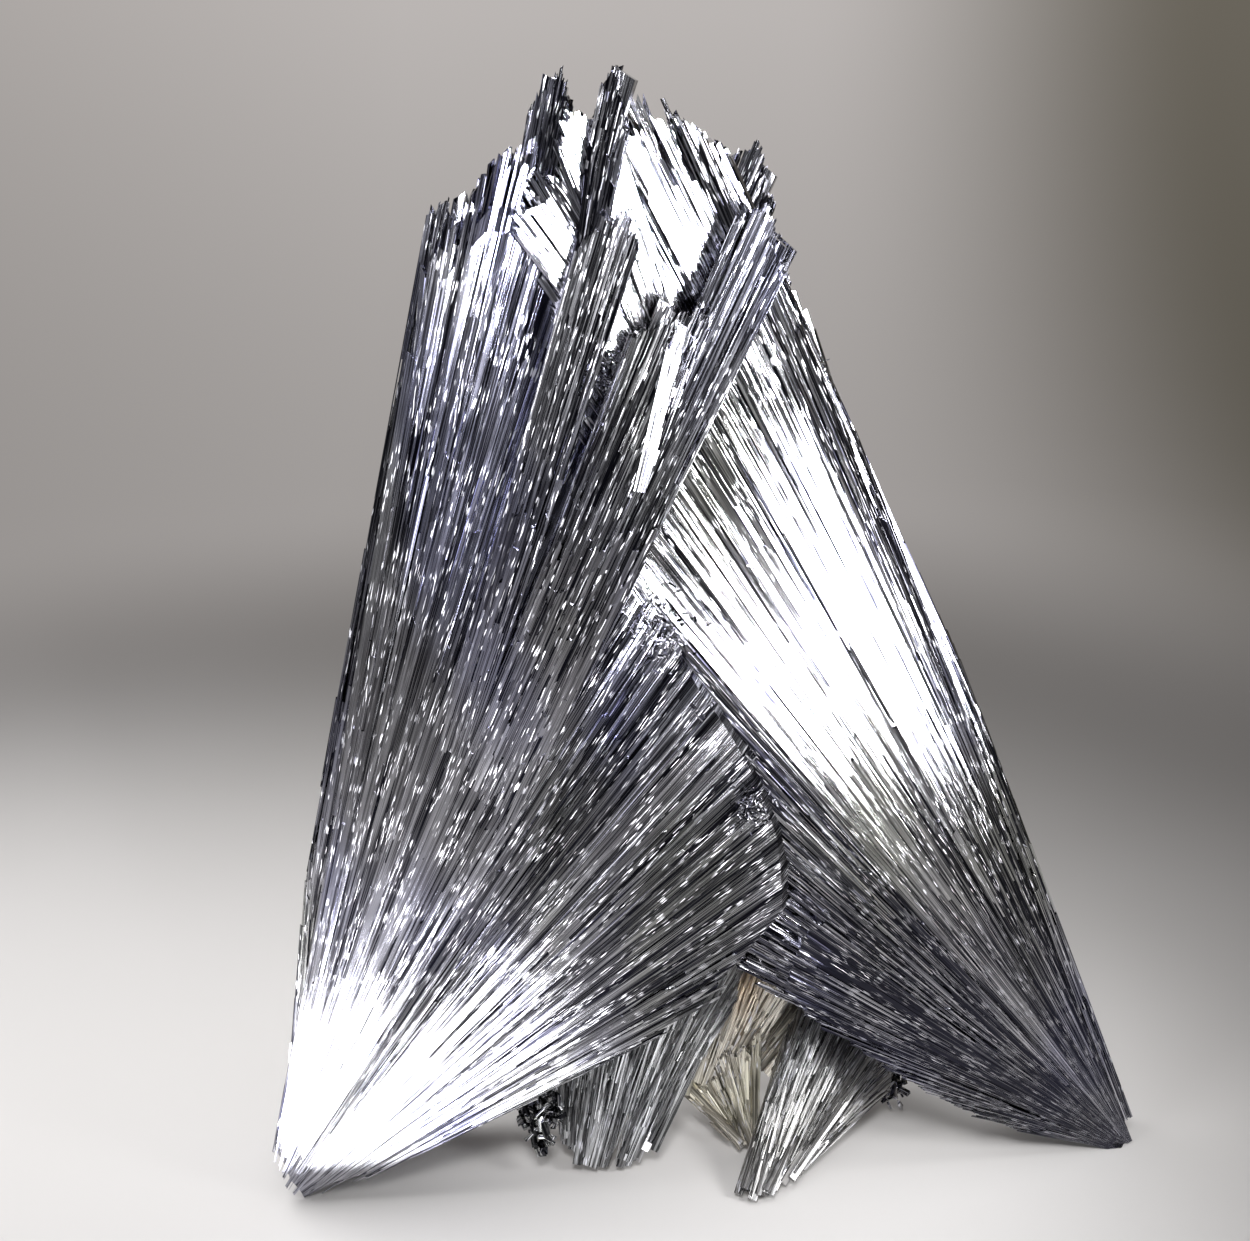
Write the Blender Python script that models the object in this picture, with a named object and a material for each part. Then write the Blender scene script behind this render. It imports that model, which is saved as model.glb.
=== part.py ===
"""Stibnite crystal spray, in metres, +Z up.

Two flat fans of bladed crystals have grown across each other in an A shape. Under their crossing
hang two small sprays and a knot of stained crystals. The piece stands on the flats where its
crystal roots and spray tips meet the ground, with its origin under the middle of its box.
"""

import math
import random
from dataclasses import dataclass

import bmesh
import bpy
from mathutils import Vector

MM = 0.001

# Clearances, in millimetres
GAP = 0.32               # between neighbouring sprays
CENTRE_X = 0.675         # from the drawing's zero to the middle of the box
CENTRE_Y = -1.387
GROUND_BLOCK = (120.0, 80.0, 30.0)   # what is cut away under the flats

# Left fan: where its blades' axes meet, how its plane turns, its thickness near and far from
# the root, and its reach by angle
LEFT_ROOT = (-31.9, -1.0, -2.8)
LEFT_YAW = 0.08
LEFT_THICK = (7.5, 9.0)
LEFT_REACH = (
    (29.0, 34.5), (31.0, 41.5), (34.0, 48.0), (40.0, 51.0), (46.0, 53.0), (53.0, 55.0),
    (58.0, 57.0), (62.0, 61.0), (65.0, 65.0), (68.0, 72.0), (71.0, 77.0), (75.5, 75.5),
    (76.6, 73.0), (77.6, 70.5),
)

# Right fan
RIGHT_ROOT = (30.9, 3.5, -0.9)
RIGHT_YAW = 0.114
RIGHT_THICK = (3.6, 5.2)
RIGHT_REACH = (
    (113.6, 62.0), (114.8, 76.0), (115.8, 82.0), (117.5, 82.5), (120.0, 83.5), (122.5, 80.5),
    (124.5, 74.0), (127.0, 67.0), (129.5, 60.5), (131.5, 52.0), (134.0, 44.0), (138.0, 37.5),
    (144.0, 36.5), (149.5, 35.5), (151.5, 27.0), (156.0, 19.0), (161.0, 11.0),
)

FULL_THICK_AT = 30.0     # distance from its root where a fan has its full thickness
PLATE_NEAR = 1.0         # a plate starts this far from its root
PLATE_PULL = 5.0         # a fan's solid middle stops this far short of its blade ends
PLATE_INSET = 0.6        # degrees that the middle stops short of the fan's edges
RELIEF = 0.7             # the most that a blade stands proud of the fan's middle
BLADE_STEP = 2.4         # degrees between neighbouring blades of a fan
BLADE_THICK = 2.6
NARROW = 0.32            # a blade's size at its root, as a share of its size at its end
OVERLAP = 1.9            # a blade's width, as a share of its step
WIDTH_SPREAD = (0.8, 1.15)
MAX_WIDTH = 5.6
SLANT = (0.8, 0.5)       # the most that a blade's end face slopes across its width and its thickness
START_REACH = (3.0, 6.0)  # where the blades on a fan's faces start
MIDDLE_START = 4.0       # and the same for the row along a fan's middle
MIDDLE_STEP = 3.84
MIDDLE_OVERLAP = 2.0
MIDDLE_NARROW = 0.4
MIDDLE_THICK = 0.6       # share of the fan's thickness
MIDDLE_SHORT = 2.0
END_JITTER = 3.5         # the most that a blade ends short of its fan's outline
ROOM_EDGE = 2.6          # degrees that a fan's room reaches past the fan's edges
ROOM_PROUD = 0.25        # what a fan's room adds to the relief on each face
ROOM_SPREAD = 2.8        # degrees that a fan's room reaches past each of its outline's corners

# Blades with a path of their own: width, thickness and path (x, y, z)
PATH_NARROW = 0.6
PATH_SLANTS = ((-0.8, 0.2), (0.9, 0.2))
LEFT_BLADES = (
    (2.6, 7.0, ((-29.4, -0.8, 3.0), (-26.9, -0.6, 22.0), (-16.4, 0.3, 67.0))),      # outer edge
    (2.4, 4.0, ((-16.5, 0.2, 45.0), (-10.2, 0.4, 74.2))),                           # first peak
    (3.4, 2.2, ((-15.0, -4.2, 40.0), (-12.2, -5.6, 49.0), (-6.6, -6.5, 67.0))),     # over the right fan
    (4.6, 2.2, ((-12.8, -4.0, 38.0), (-9.6, -6.1, 45.0), (-2.8, -6.4, 61.8))),
    (4.0, 2.2, ((-10.6, -4.0, 36.0), (-6.6, -6.3, 47.0), (2.2, -6.2, 66.6))),
    (2.2, 2.0, ((-12.6, -4.8, 50.0), (-10.6, -6.0, 58.0), (-6.3, -6.3, 74.0))),     # second peak
    (3.6, 2.8, ((-15.0, 4.6, 32.0), (-10.0, 5.4, 44.0), (-0.4, 6.0, 67.6))),        # behind it
    (3.8, 2.8, ((-13.5, 4.8, 32.0), (-8.0, 5.6, 44.0), (2.6, 6.4, 69.6))),
    (4.0, 2.8, ((-12.0, 4.7, 30.0), (-6.6, 5.8, 42.0), (4.0, 6.4, 65.0))),
)
RIGHT_BLADES = (
    (3.0, 5.8, ((29.4, 3.4, 2.0), (14.6, 1.6, 36.4), (-3.4, -0.4, 72.0))),          # outer edge
    (3.2, 2.4, ((0.0, -1.0, 50.0), (-12.2, -2.0, 67.0))),                           # crossing blades
    (3.0, 2.4, ((-1.0, 0.4, 48.0), (-10.0, -0.6, 69.4))),
)

# Lumps of small crystals: centre and radii (x, y, z)
LEFT_KNOBS = (((-26.6, -1.0, 4.4), (3.9, 4.3, 5.6)),)
RIGHT_KNOBS = (((28.9, 3.2, 2.0), (2.0, 2.3, 3.0)), ((5.4, 0.6, 55.2), (1.2, 1.8, 2.6)))

# Small sprays: the foot where their blades meet, and the top of each blade (x, y, z)
LOWER_LEFT_FOOT = (-8.4, -1.6, -1.6)
LOWER_LEFT_TOPS = (
    (-13.2, 3.8, 7.5), (-10.4, 4.0, 11.0), (-8.2, 5.4, 13.0), (-6.0, 6.6, 14.5), (-3.8, 7.6, 16.0),
    (-1.6, 8.0, 17.2), (0.4, 8.2, 17.6), (2.0, 8.6, 16.6), (2.6, 7.0, 14.0), (0.6, 5.6, 11.4),
)
LOWER_RIGHT_FOOT = (2.6, -4.4, -1.8)
LOWER_RIGHT_TOPS = (
    (7.6, 6.0, 14.0), (9.8, 6.6, 13.6), (11.8, 7.0, 12.2), (13.4, 7.2, 10.6), (14.8, 7.2, 8.8),
    (15.4, 6.4, 6.6), (11.0, 4.0, 8.4), (8.4, 3.0, 8.4),
)
STAINED_FOOT = (-1.9, 3.2, 3.4)
STAINED_TOPS = ((4.4, 8.6, 16.0), (6.6, 8.8, 15.6), (8.8, 9.0, 14.4), (10.8, 9.0, 12.6))
NEEDLE_FOOT = (2.4, 0.6, -0.2)
NEEDLE_TOPS = ((-2.4, 3.4, 4.6), (1.4, 4.4, 8.6), (2.8, 4.8, 8.8))
SPRAY_WIDTH = 3.2
SPRAY_THICK = 2.8
FOOT_RADII = (1.7, 1.5, 1.9)     # the lump that ties a small spray's blades together
FOOT_LIFT = (0.0, 0.2, 1.6)      # from the foot to that lump's middle
NEEDLE_WIDTH = 1.3
NEEDLE_THICK = 1.3
SPRAY_BEND = (-0.5, -0.4, 0.4)   # how far the small sprays' blades bow at their middle
SPRAY_NARROW = 0.7
SPRAY_SLANT = (0.5, 0.3)
FOOT_JITTER = (0.9, 0.6, 0.3)    # the most that a blade starts away from its foot
ROOM_GROW = (3.0, 2.6, 1.5)      # what a clearance adds to the width, thickness and foot of a room

# Colour and roughness
BRIGHT = ((0.36, 0.37, 0.39, 1.0), 0.22)
GREY = ((0.36, 0.37, 0.39, 1.0), 0.3)
DARK_GREY = ((0.24, 0.24, 0.26, 1.0), 0.35)
STAINED = ((0.42, 0.36, 0.28, 1.0), 0.45)

# A blade's flattened six-sided section, in half widths and half thicknesses
BLADE_SECTION = ((1.0, 0.1), (0.4, 1.0), (-0.5, 0.9), (-1.0, -0.1), (-0.4, -1.0), (0.5, -0.9))


@dataclass
class Fan:
    """A flat fan of blades, in millimetres: its plane turns about the upright line through its root."""

    root: tuple
    yaw: float
    thick: tuple
    reach: tuple

    def reach_at(self, angle):
        """Return how far the blades reach at an angle in degrees."""
        rows = self.reach
        if angle <= rows[0][0]:
            return rows[0][1]
        for (a, near), (b, far) in zip(rows, rows[1:]):
            if angle <= b:
                return near + (far - near) * (angle - a) / (b - a)
        return rows[-1][1]

    def room_reach(self, angle):
        """Return the farthest reach near an angle, for the room that the fan takes."""
        return max(self.reach_at(angle + turn * ROOM_SPREAD) for turn in (-1.0, -0.5, 0.0, 0.5, 1.0))

    def thick_at(self, reach):
        """Return the thickness of the solid middle at a distance from the root."""
        root, end = self.thick
        return root + (end - root) * min(1.0, reach / FULL_THICK_AT)

    def point(self, angle, reach, depth):
        """Return the point at an angle and distance, a depth in front of (-) or behind (+) the plane."""
        x, y, z = self.root
        across = reach * math.cos(math.radians(angle))
        return Vector((x + across, y + self.yaw * across + depth, z + reach * math.sin(math.radians(angle))))


def lath(bm, path, width, thick, narrow, slant):
    """Add a closed six-sided blade along a path, narrow at its start, with a slanted end face."""
    facing = Vector((0.0, -1.0, 0.0))
    rings = []
    for index, centre in enumerate(path):
        before, after = path[max(0, index - 1)], path[min(len(path) - 1, index + 1)]
        along = (after - before).normalized()
        out = facing - facing.dot(along) * along
        out.normalize()
        side = along.cross(out)
        scale = narrow + (1.0 - narrow) * index / (len(path) - 1)
        last = index == len(path) - 1
        ring = []
        for across, deep in BLADE_SECTION:
            reach = (slant[0] * across * width + slant[1] * deep * thick) / 2 if last else 0.0
            place = centre + (side * across * width + out * deep * thick) * scale / 2 + along * reach
            ring.append(bm.verts.new(place))
        rings.append(ring)
    faces = [bm.faces.new(rings[0]), bm.faces.new(rings[-1])]
    for low, high in zip(rings, rings[1:]):
        for k in range(len(BLADE_SECTION)):
            m = (k + 1) % len(BLADE_SECTION)
            faces.append(bm.faces.new((low[k], low[m], high[m], high[k])))
    bmesh.ops.recalc_face_normals(bm, faces=faces)


def plate(bm, fan, edge, extra):
    """Add a closed plate in a fan's plane with an outline of (angle, reach), thicker by the extra."""
    low, high = edge[0][0], edge[-1][0]
    corners = [(low, PLATE_NEAR)] + list(edge) + [(high, PLATE_NEAR)]
    sides = []
    for face in (-1.0, 1.0):
        places = [fan.point(a, r, face * (fan.thick_at(r) / 2 + extra)) for a, r in corners]
        sides.append([bm.verts.new(place) for place in places])
    front, back = sides
    count = len(corners)
    faces = []
    for k in range(count):
        m = (k + 1) % count
        faces.append(bm.faces.new((front[k], front[m], back[m], back[k])))
    for row in sides:
        for k in range(1, count - 1):
            faces.append(bm.faces.new((row[0], row[k], row[k + 1])))
    bmesh.ops.recalc_face_normals(bm, faces=faces)


def fan_blades(bm, fan, seed):
    """Add the rows of blades on a fan's front and back and along its middle, inside its outline."""
    rng = random.Random(seed)
    low, high = fan.reach[0][0] + BLADE_STEP / 2, fan.reach[-1][0] - BLADE_STEP / 3
    for face in (-1.0, 1.0):
        angle = low
        while angle < high:
            reach = fan.reach_at(angle) - rng.uniform(0.0, END_JITTER)
            wide = min(MAX_WIDTH, OVERLAP * reach * math.radians(BLADE_STEP) * rng.uniform(*WIDTH_SPREAD))
            slant = (rng.uniform(-SLANT[0], SLANT[0]), rng.uniform(-SLANT[1], SLANT[1]))
            reach -= (abs(slant[0]) * wide + abs(slant[1]) * BLADE_THICK) / 2
            near = (fan.thick_at(0.0) - BLADE_THICK * NARROW) / 2 + rng.uniform(0.0, 0.3)
            far = (fan.thick_at(reach) - BLADE_THICK) / 2 + rng.uniform(0.2, RELIEF)
            start = fan.point(angle, rng.uniform(*START_REACH), face * near)
            lath(bm, (start, fan.point(angle, reach, face * far)), wide, BLADE_THICK, NARROW, slant)
            angle += BLADE_STEP * rng.uniform(0.8, 1.2)
    angle = low
    while angle < high:
        reach = fan.reach_at(angle) - rng.uniform(0.0, MIDDLE_SHORT)
        wide = min(MAX_WIDTH, MIDDLE_OVERLAP * reach * math.radians(BLADE_STEP))
        slant = rng.uniform(-0.9, 0.9)
        reach -= abs(slant) * wide / 2
        path = (fan.point(angle, MIDDLE_START, 0.0), fan.point(angle, reach, rng.uniform(-0.5, 0.5)))
        lath(bm, path, wide, fan.thick_at(reach) * MIDDLE_THICK, MIDDLE_NARROW, (slant, 0.2))
        angle += MIDDLE_STEP


def knob(bm, centre, radii):
    """Add a faceted lump of small crystals."""
    made = bmesh.ops.create_icosphere(bm, subdivisions=1, radius=1.0)
    for vert in made["verts"]:
        vert.co = Vector(centre) + Vector((vert.co.x * radii[0], vert.co.y * radii[1], vert.co.z * radii[2]))


def spray_blades(bm, foot, tops, size, seed, grow=0.0):
    """Add bent blades from a foot to each top, of a (width, thickness), all thicker by the growth."""
    rng = random.Random(seed)
    start = Vector(foot)
    for top in tops:
        end = Vector(top)
        along = (end - start).normalized()
        jitter = Vector([rng.uniform(-most, most) for most in FOOT_JITTER])
        middle = (start + end) / 2 + Vector(SPRAY_BEND)
        slant = [rng.uniform(-most, most) for most in SPRAY_SLANT]
        path = (start + jitter - along * grow, middle, end + along * grow)
        wide = size[0] * rng.uniform(0.85, 1.15) + ROOM_GROW[0] * grow
        lath(bm, path, wide, size[1] + ROOM_GROW[1] * grow, SPRAY_NARROW, slant)


def to_object(name, bm, cutter=False):
    """Return a mesh object, in metres and centred, made from a bmesh in millimetres."""
    for vert in bm.verts:
        vert.co = (vert.co + Vector((CENTRE_X, CENTRE_Y, 0.0))) * MM
    mesh = bpy.data.meshes.new(name)
    bm.to_mesh(mesh)
    bm.free()
    obj = bpy.data.objects.new(name, mesh)
    bpy.context.scene.collection.objects.link(obj)
    if cutter:
        obj.hide_render = True
        obj.display_type = "WIRE"
    return obj


def combine(obj, other, operation):
    """Join another mesh to an object or cut it away, exactly, and keep the one main body."""
    mod = obj.modifiers.new(operation.lower(), "BOOLEAN")
    mod.operation = operation
    mod.solver = "EXACT"
    mod.use_self = operation == "UNION"
    mod.object = other
    evaluated = obj.evaluated_get(bpy.context.evaluated_depsgraph_get())
    mesh = bpy.data.meshes.new_from_object(evaluated)
    obj.modifiers.clear()
    bm = bmesh.new()
    bm.from_mesh(mesh)
    drop_chips(bm)
    bm.to_mesh(mesh)
    bm.free()
    obj.data = mesh
    mesh.name = obj.name


def drop_chips(bm):
    """Delete the chips that a cut has freed: every body but the largest, joined across its edges."""
    left = set(bm.faces)
    bodies = []
    while left:
        stack = [left.pop()]
        body = set(stack)
        while stack:
            for edge in stack.pop().edges:
                for face in edge.link_faces:
                    if face in left:
                        left.discard(face)
                        body.add(face)
                        stack.append(face)
        bodies.append(body)
    main_body = max(bodies, key=lambda faces: sum(face.calc_area() for face in faces))
    bmesh.ops.delete(bm, geom=[face for face in bm.faces if face not in main_body], context="FACES")


def material(obj, finish):
    """Give an object its own metallic material, of a (colour, roughness)."""
    made = bpy.data.materials.new(obj.name)
    made.use_nodes = True
    shader = made.node_tree.nodes["Principled BSDF"]
    shader.inputs["Base Color"].default_value, shader.inputs["Roughness"].default_value = finish
    shader.inputs["Metallic"].default_value = 1.0
    obj.data.materials.clear()
    obj.data.materials.append(made)


def room(name, fan):
    """Return a cutter of the space that a fan takes, with its clearance."""
    low, high = fan.reach[0][0] - ROOM_EDGE, fan.reach[-1][0] + ROOM_EDGE
    steps = math.ceil(2.0 * (high - low) / ROOM_SPREAD)
    angles = [low + (high - low) * k / steps for k in range(steps + 1)]
    bm = bmesh.new()
    plate(bm, fan, [(a, fan.room_reach(a) + GAP) for a in angles], RELIEF + ROOM_PROUD + GAP)
    return to_object(name, bm, cutter=True)


def ground():
    """Return the cutter of everything under the flats."""
    bm = bmesh.new()
    bmesh.ops.create_cube(bm, size=1.0)
    bmesh.ops.scale(bm, vec=GROUND_BLOCK, verts=bm.verts)
    bmesh.ops.translate(bm, vec=(0.0, 0.0, -GROUND_BLOCK[2] / 2), verts=bm.verts)
    return to_object("ground_cutter", bm, cutter=True)


def fan_solid(name, fan, seed, knobs, blades, ground_cutter):
    """Return a fan: its middle plate, joined with its blades and the lumps that grow on it."""
    edge = [(angle, reach - PLATE_PULL) for angle, reach in fan.reach]
    edge[0] = (edge[0][0] + PLATE_INSET, edge[0][1])
    edge[-1] = (edge[-1][0] - PLATE_INSET, edge[-1][1])
    bm = bmesh.new()
    plate(bm, fan, edge, 0.0)
    obj = to_object(name, bm)
    bm = bmesh.new()
    fan_blades(bm, fan, seed)
    for centre, radii in knobs:
        knob(bm, centre, radii)
    for index, (width, thick, path) in enumerate(blades):
        lath(bm, [Vector(place) for place in path], width, thick, PATH_NARROW, PATH_SLANTS[index % 2])
    combine(obj, to_object(name + "_blades", bm, cutter=True), "UNION")
    combine(obj, ground_cutter, "DIFFERENCE")
    return obj


def spray_solid(name, groups, grow=0.0):
    """Return a small spray, with a lump at its foot that ties its blades together.

    With a growth, it is a cutter of the space that the spray takes with its clearance.
    """
    bm = bmesh.new()
    radii = [radius + ROOM_GROW[2] * grow for radius in FOOT_RADII]
    knob(bm, Vector(groups[0][0]) + Vector(FOOT_LIFT), radii)
    obj = to_object(name, bm, cutter=grow > 0.0)
    bm = bmesh.new()
    for foot, tops, size, seed in groups:
        spray_blades(bm, foot, tops, size, seed, grow)
    combine(obj, to_object(name + "_blades", bm, cutter=True), "UNION")
    return obj


def main():
    """Build the sprays, front to back."""
    for obj in list(bpy.data.objects):
        bpy.data.objects.remove(obj, do_unlink=True)
    left = Fan(LEFT_ROOT, LEFT_YAW, LEFT_THICK, LEFT_REACH)
    right = Fan(RIGHT_ROOT, RIGHT_YAW, RIGHT_THICK, RIGHT_REACH)
    ground_cutter = ground()
    left_room = room("left_room", left)
    right_room = room("right_room", right)

    right_fan = fan_solid("right_fan", right, 21, RIGHT_KNOBS, RIGHT_BLADES, ground_cutter)
    left_fan = fan_solid("left_fan", left, 11, LEFT_KNOBS, LEFT_BLADES, ground_cutter)
    combine(left_fan, right_room, "DIFFERENCE")

    blade = (SPRAY_WIDTH, SPRAY_THICK)
    needle = (NEEDLE_WIDTH, NEEDLE_THICK)
    lower_left_groups = ((LOWER_LEFT_FOOT, LOWER_LEFT_TOPS, blade, 31),)
    lower_right_groups = ((LOWER_RIGHT_FOOT, LOWER_RIGHT_TOPS, blade, 42),)
    stained_groups = ((STAINED_FOOT, STAINED_TOPS, blade, 51), (NEEDLE_FOOT, NEEDLE_TOPS, needle, 52))
    lower_left = spray_solid("lower_left_spray", lower_left_groups)
    lower_right = spray_solid("lower_right_spray", lower_right_groups)
    stained = spray_solid("stained_crystals", stained_groups)
    combine(stained, spray_solid("lower_left_room", lower_left_groups, GAP), "DIFFERENCE")
    combine(stained, spray_solid("lower_right_room", lower_right_groups, GAP), "DIFFERENCE")
    for obj in (lower_left, lower_right, stained):
        for cutter in (left_room, right_room, ground_cutter):
            combine(obj, cutter, "DIFFERENCE")

    for obj, finish in ((left_fan, GREY), (right_fan, BRIGHT), (lower_left, DARK_GREY),
                        (lower_right, DARK_GREY), (stained, STAINED)):
        material(obj, finish)
    for obj in list(bpy.data.objects):
        if obj.hide_render:
            bpy.data.objects.remove(obj, do_unlink=True)


main()
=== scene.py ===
"""Dressed stibnite crystal spray: two crossed fans of striated blades over small sprays, with studio.

All sizes are in drawing millimetres, with the drawing's zero near the middle of the floor under the
piece. `to_world` brings them into the shared frame, in metres. Angles are in degrees.
"""

import logging
import math
from dataclasses import dataclass
from enum import Enum
from functools import cache
from typing import Callable, Sequence

import bmesh
import bpy
import numpy as np
from mathutils import Matrix, Vector

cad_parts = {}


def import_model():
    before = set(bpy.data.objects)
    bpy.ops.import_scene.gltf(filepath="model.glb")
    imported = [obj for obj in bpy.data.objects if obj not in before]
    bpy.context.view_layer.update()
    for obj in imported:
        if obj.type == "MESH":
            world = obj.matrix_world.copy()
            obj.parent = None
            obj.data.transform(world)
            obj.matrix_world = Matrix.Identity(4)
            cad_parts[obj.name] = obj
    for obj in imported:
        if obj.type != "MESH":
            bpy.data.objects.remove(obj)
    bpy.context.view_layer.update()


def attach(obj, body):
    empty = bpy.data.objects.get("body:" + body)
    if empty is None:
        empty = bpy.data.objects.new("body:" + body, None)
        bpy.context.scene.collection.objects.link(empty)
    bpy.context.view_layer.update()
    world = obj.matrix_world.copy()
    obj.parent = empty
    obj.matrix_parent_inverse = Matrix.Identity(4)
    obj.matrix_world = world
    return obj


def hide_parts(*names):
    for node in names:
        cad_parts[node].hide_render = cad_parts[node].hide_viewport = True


logging.basicConfig(level=logging.INFO, format="%(levelname)s %(message)s")
LOG = logging.getLogger("stibnite")

MM = 0.001
CENTRE = np.array((0.675, -1.387, 0.0))  # from the drawing's zero to the shared frame's
FRONT = np.array((0.0, -1.0, 0.0))
GRAIN_UV = "grain"
# Name of the tone attribute: each needle's own tone, and on the fans also painted light and shading.
TONE = "tone"
GRAIN_RANGE = 90.0  # millimetres of grain from which a loose needle takes its own stretch
GRAIN_PER_DEGREE = 0.9  # grain millimetres to one degree of a fan
GRAIN_DEPTH = 0.0001  # metres of relief in the grain
CHIP_ROUGHNESS = 0.3  # how much rougher the small crushed places are
BUNDLES = (5.0, 1.8)  # mean widths of a fan's wide and middle bundles
FULL_RELIEF_AT = 45.0  # distance from a fan's root where its relief is full
FULL_THICK_AT = 30.0  # the same for its thickness
CORE_PULL = 4.0  # how far a fan's core stops short of its outline
CORE_ROWS = 40  # rows of faces along it
RELIEF = (0.24, 0.14, 0.007)  # height of its wide, middle and fine bundles
TILT = 0.05  # how unevenly its fine strips slope across
BASE_TONE = 0.42  # usual tone of a fan's fibres
DARKEST = -0.45  # lowest tone, reached where the painted shading is deepest and the grain hardly shows
FACE_COUNT = 760  # needles on each broad face of a fan
FACE_SPAN = (5.0, 30.0)  # the shortest and the longest of them
FACE_STRAY = 0.25  # degrees that they stray from their fibres
FACE_SPREAD = 3.0  # how unevenly they turn about their axes
FACE_LOOSE = 0.03  # share of them that lie at any turn
FACE_LIFT = 0.05  # their height above the fibres
MARGIN = 0.4  # how far inside another fan's outline a needle is left out
LOWEST = 0.35  # height that the needles keep above the floor
SHORTEST = 0.3  # length below which a needle is left out
CROSSED = (-3.6, 3.0)  # depths between which a crossed fan's rim gives way to the fan over it

Triple = tuple[float, float, float]
Path3 = tuple[Triple, ...]
Pair = tuple[float, float]
Rows = tuple[Pair, ...]
Array = np.ndarray
Socket = bpy.types.NodeSocket
Material = bpy.types.Material
Random = np.random.Generator


class Side(Enum):
    """Which broad face of a fan, as the sign of its depth."""

    FRONT = -1.0
    BACK = 1.0


def to_world(places: Array) -> Array:
    """Return drawing places (N×3) in the shared frame, in metres."""
    return (places + CENTRE) * MM


def unit(rows: Array) -> Array:
    """Return each row scaled to length one."""
    return rows / np.maximum(np.linalg.norm(rows, axis=-1, keepdims=True), 1e-9)


def table_at(rows: Rows, angle: Array) -> Array:
    """Return a table's value at each angle, read between its rows."""
    return np.interp(angle, *np.array(rows).T)


def path_at(path: Path3, share: Array, by_length: bool) -> Array:
    """Return places along a path of straight runs.

    Args:
        path: its points.
        share: how far along it each place is, from 0 to 1.
        by_length: whether runs count by their length, and not all the same.

    Returns:
        The places (N×3).
    """
    points = np.array(path)
    marks = np.linspace(0.0, 1.0, len(points))
    if by_length:
        marks[1:] = np.cumsum(np.linalg.norm(np.diff(points, axis=0), axis=1))
    return np.stack([np.interp(share, marks / marks[-1], column) for column in points.T], axis=-1)


def log_even(rng: Random, span: Pair, count: int) -> Array:
    """Return random sizes within a span, as many of them small as large."""
    return np.exp(rng.uniform(*np.log(span), count))


def cross_axes(facing: Array, along: Array, roll: Array | float) -> tuple[Array, ...]:
    """Return the two axes across each needle.

    Args:
        facing: which way its broad side faces before it rolls.
        along: its own axis.
        roll: its turn about that axis.

    Returns:
        The axis across its broad side, and the axis square to that side.
    """
    out = unit(facing - (facing * along).sum(1, keepdims=True) * along)
    side = np.cross(out, along)
    turn = np.radians(roll)
    return np.cos(turn) * side + np.sin(turn) * out, np.cos(turn) * out - np.sin(turn) * side


# Needles


@dataclass
class Needles:
    """Rows of needles, in drawing millimetres."""

    start: Array  # where each begins (N×3)
    end: Array  # where each ends (N×3)
    out: Array  # which way its broad side faces before it rolls (N×3)
    width: Array  # size across
    thick: Array  # size along `out`
    roll: Array  # turn about its own axis
    slant: Array  # slope of its end face across its width
    tone: Array  # 0 dark to 1 bright, with painted light and shading on the fans' needles

    def only(self, keep: Array) -> "Needles":
        """Return the needles that a mask keeps."""
        return Needles(*(getattr(self, name)[keep] for name in self.__dataclass_fields__))

    @staticmethod
    def joined(parts: Sequence["Needles"]) -> "Needles":
        """Return several sets of needles as one."""
        names = Needles.__dataclass_fields__
        return Needles(*(np.concatenate([getattr(part, name) for part in parts]) for name in names))


def paint(mesh: bpy.types.Mesh, corners: Array, grain: Array, tone: Array) -> None:
    """Give a mesh its grain and its tones.

    Args:
        mesh: the mesh.
        corners: the vertex at each corner of its faces.
        grain: each vertex's grain coordinates (N×2).
        tone: each vertex's tone.
    """
    mesh.uv_layers.new(name=GRAIN_UV).data.foreach_set("uv", grain[corners].ravel())
    mesh.attributes.new(TONE, "FLOAT", "POINT").data.foreach_set("value", tone)


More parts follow.
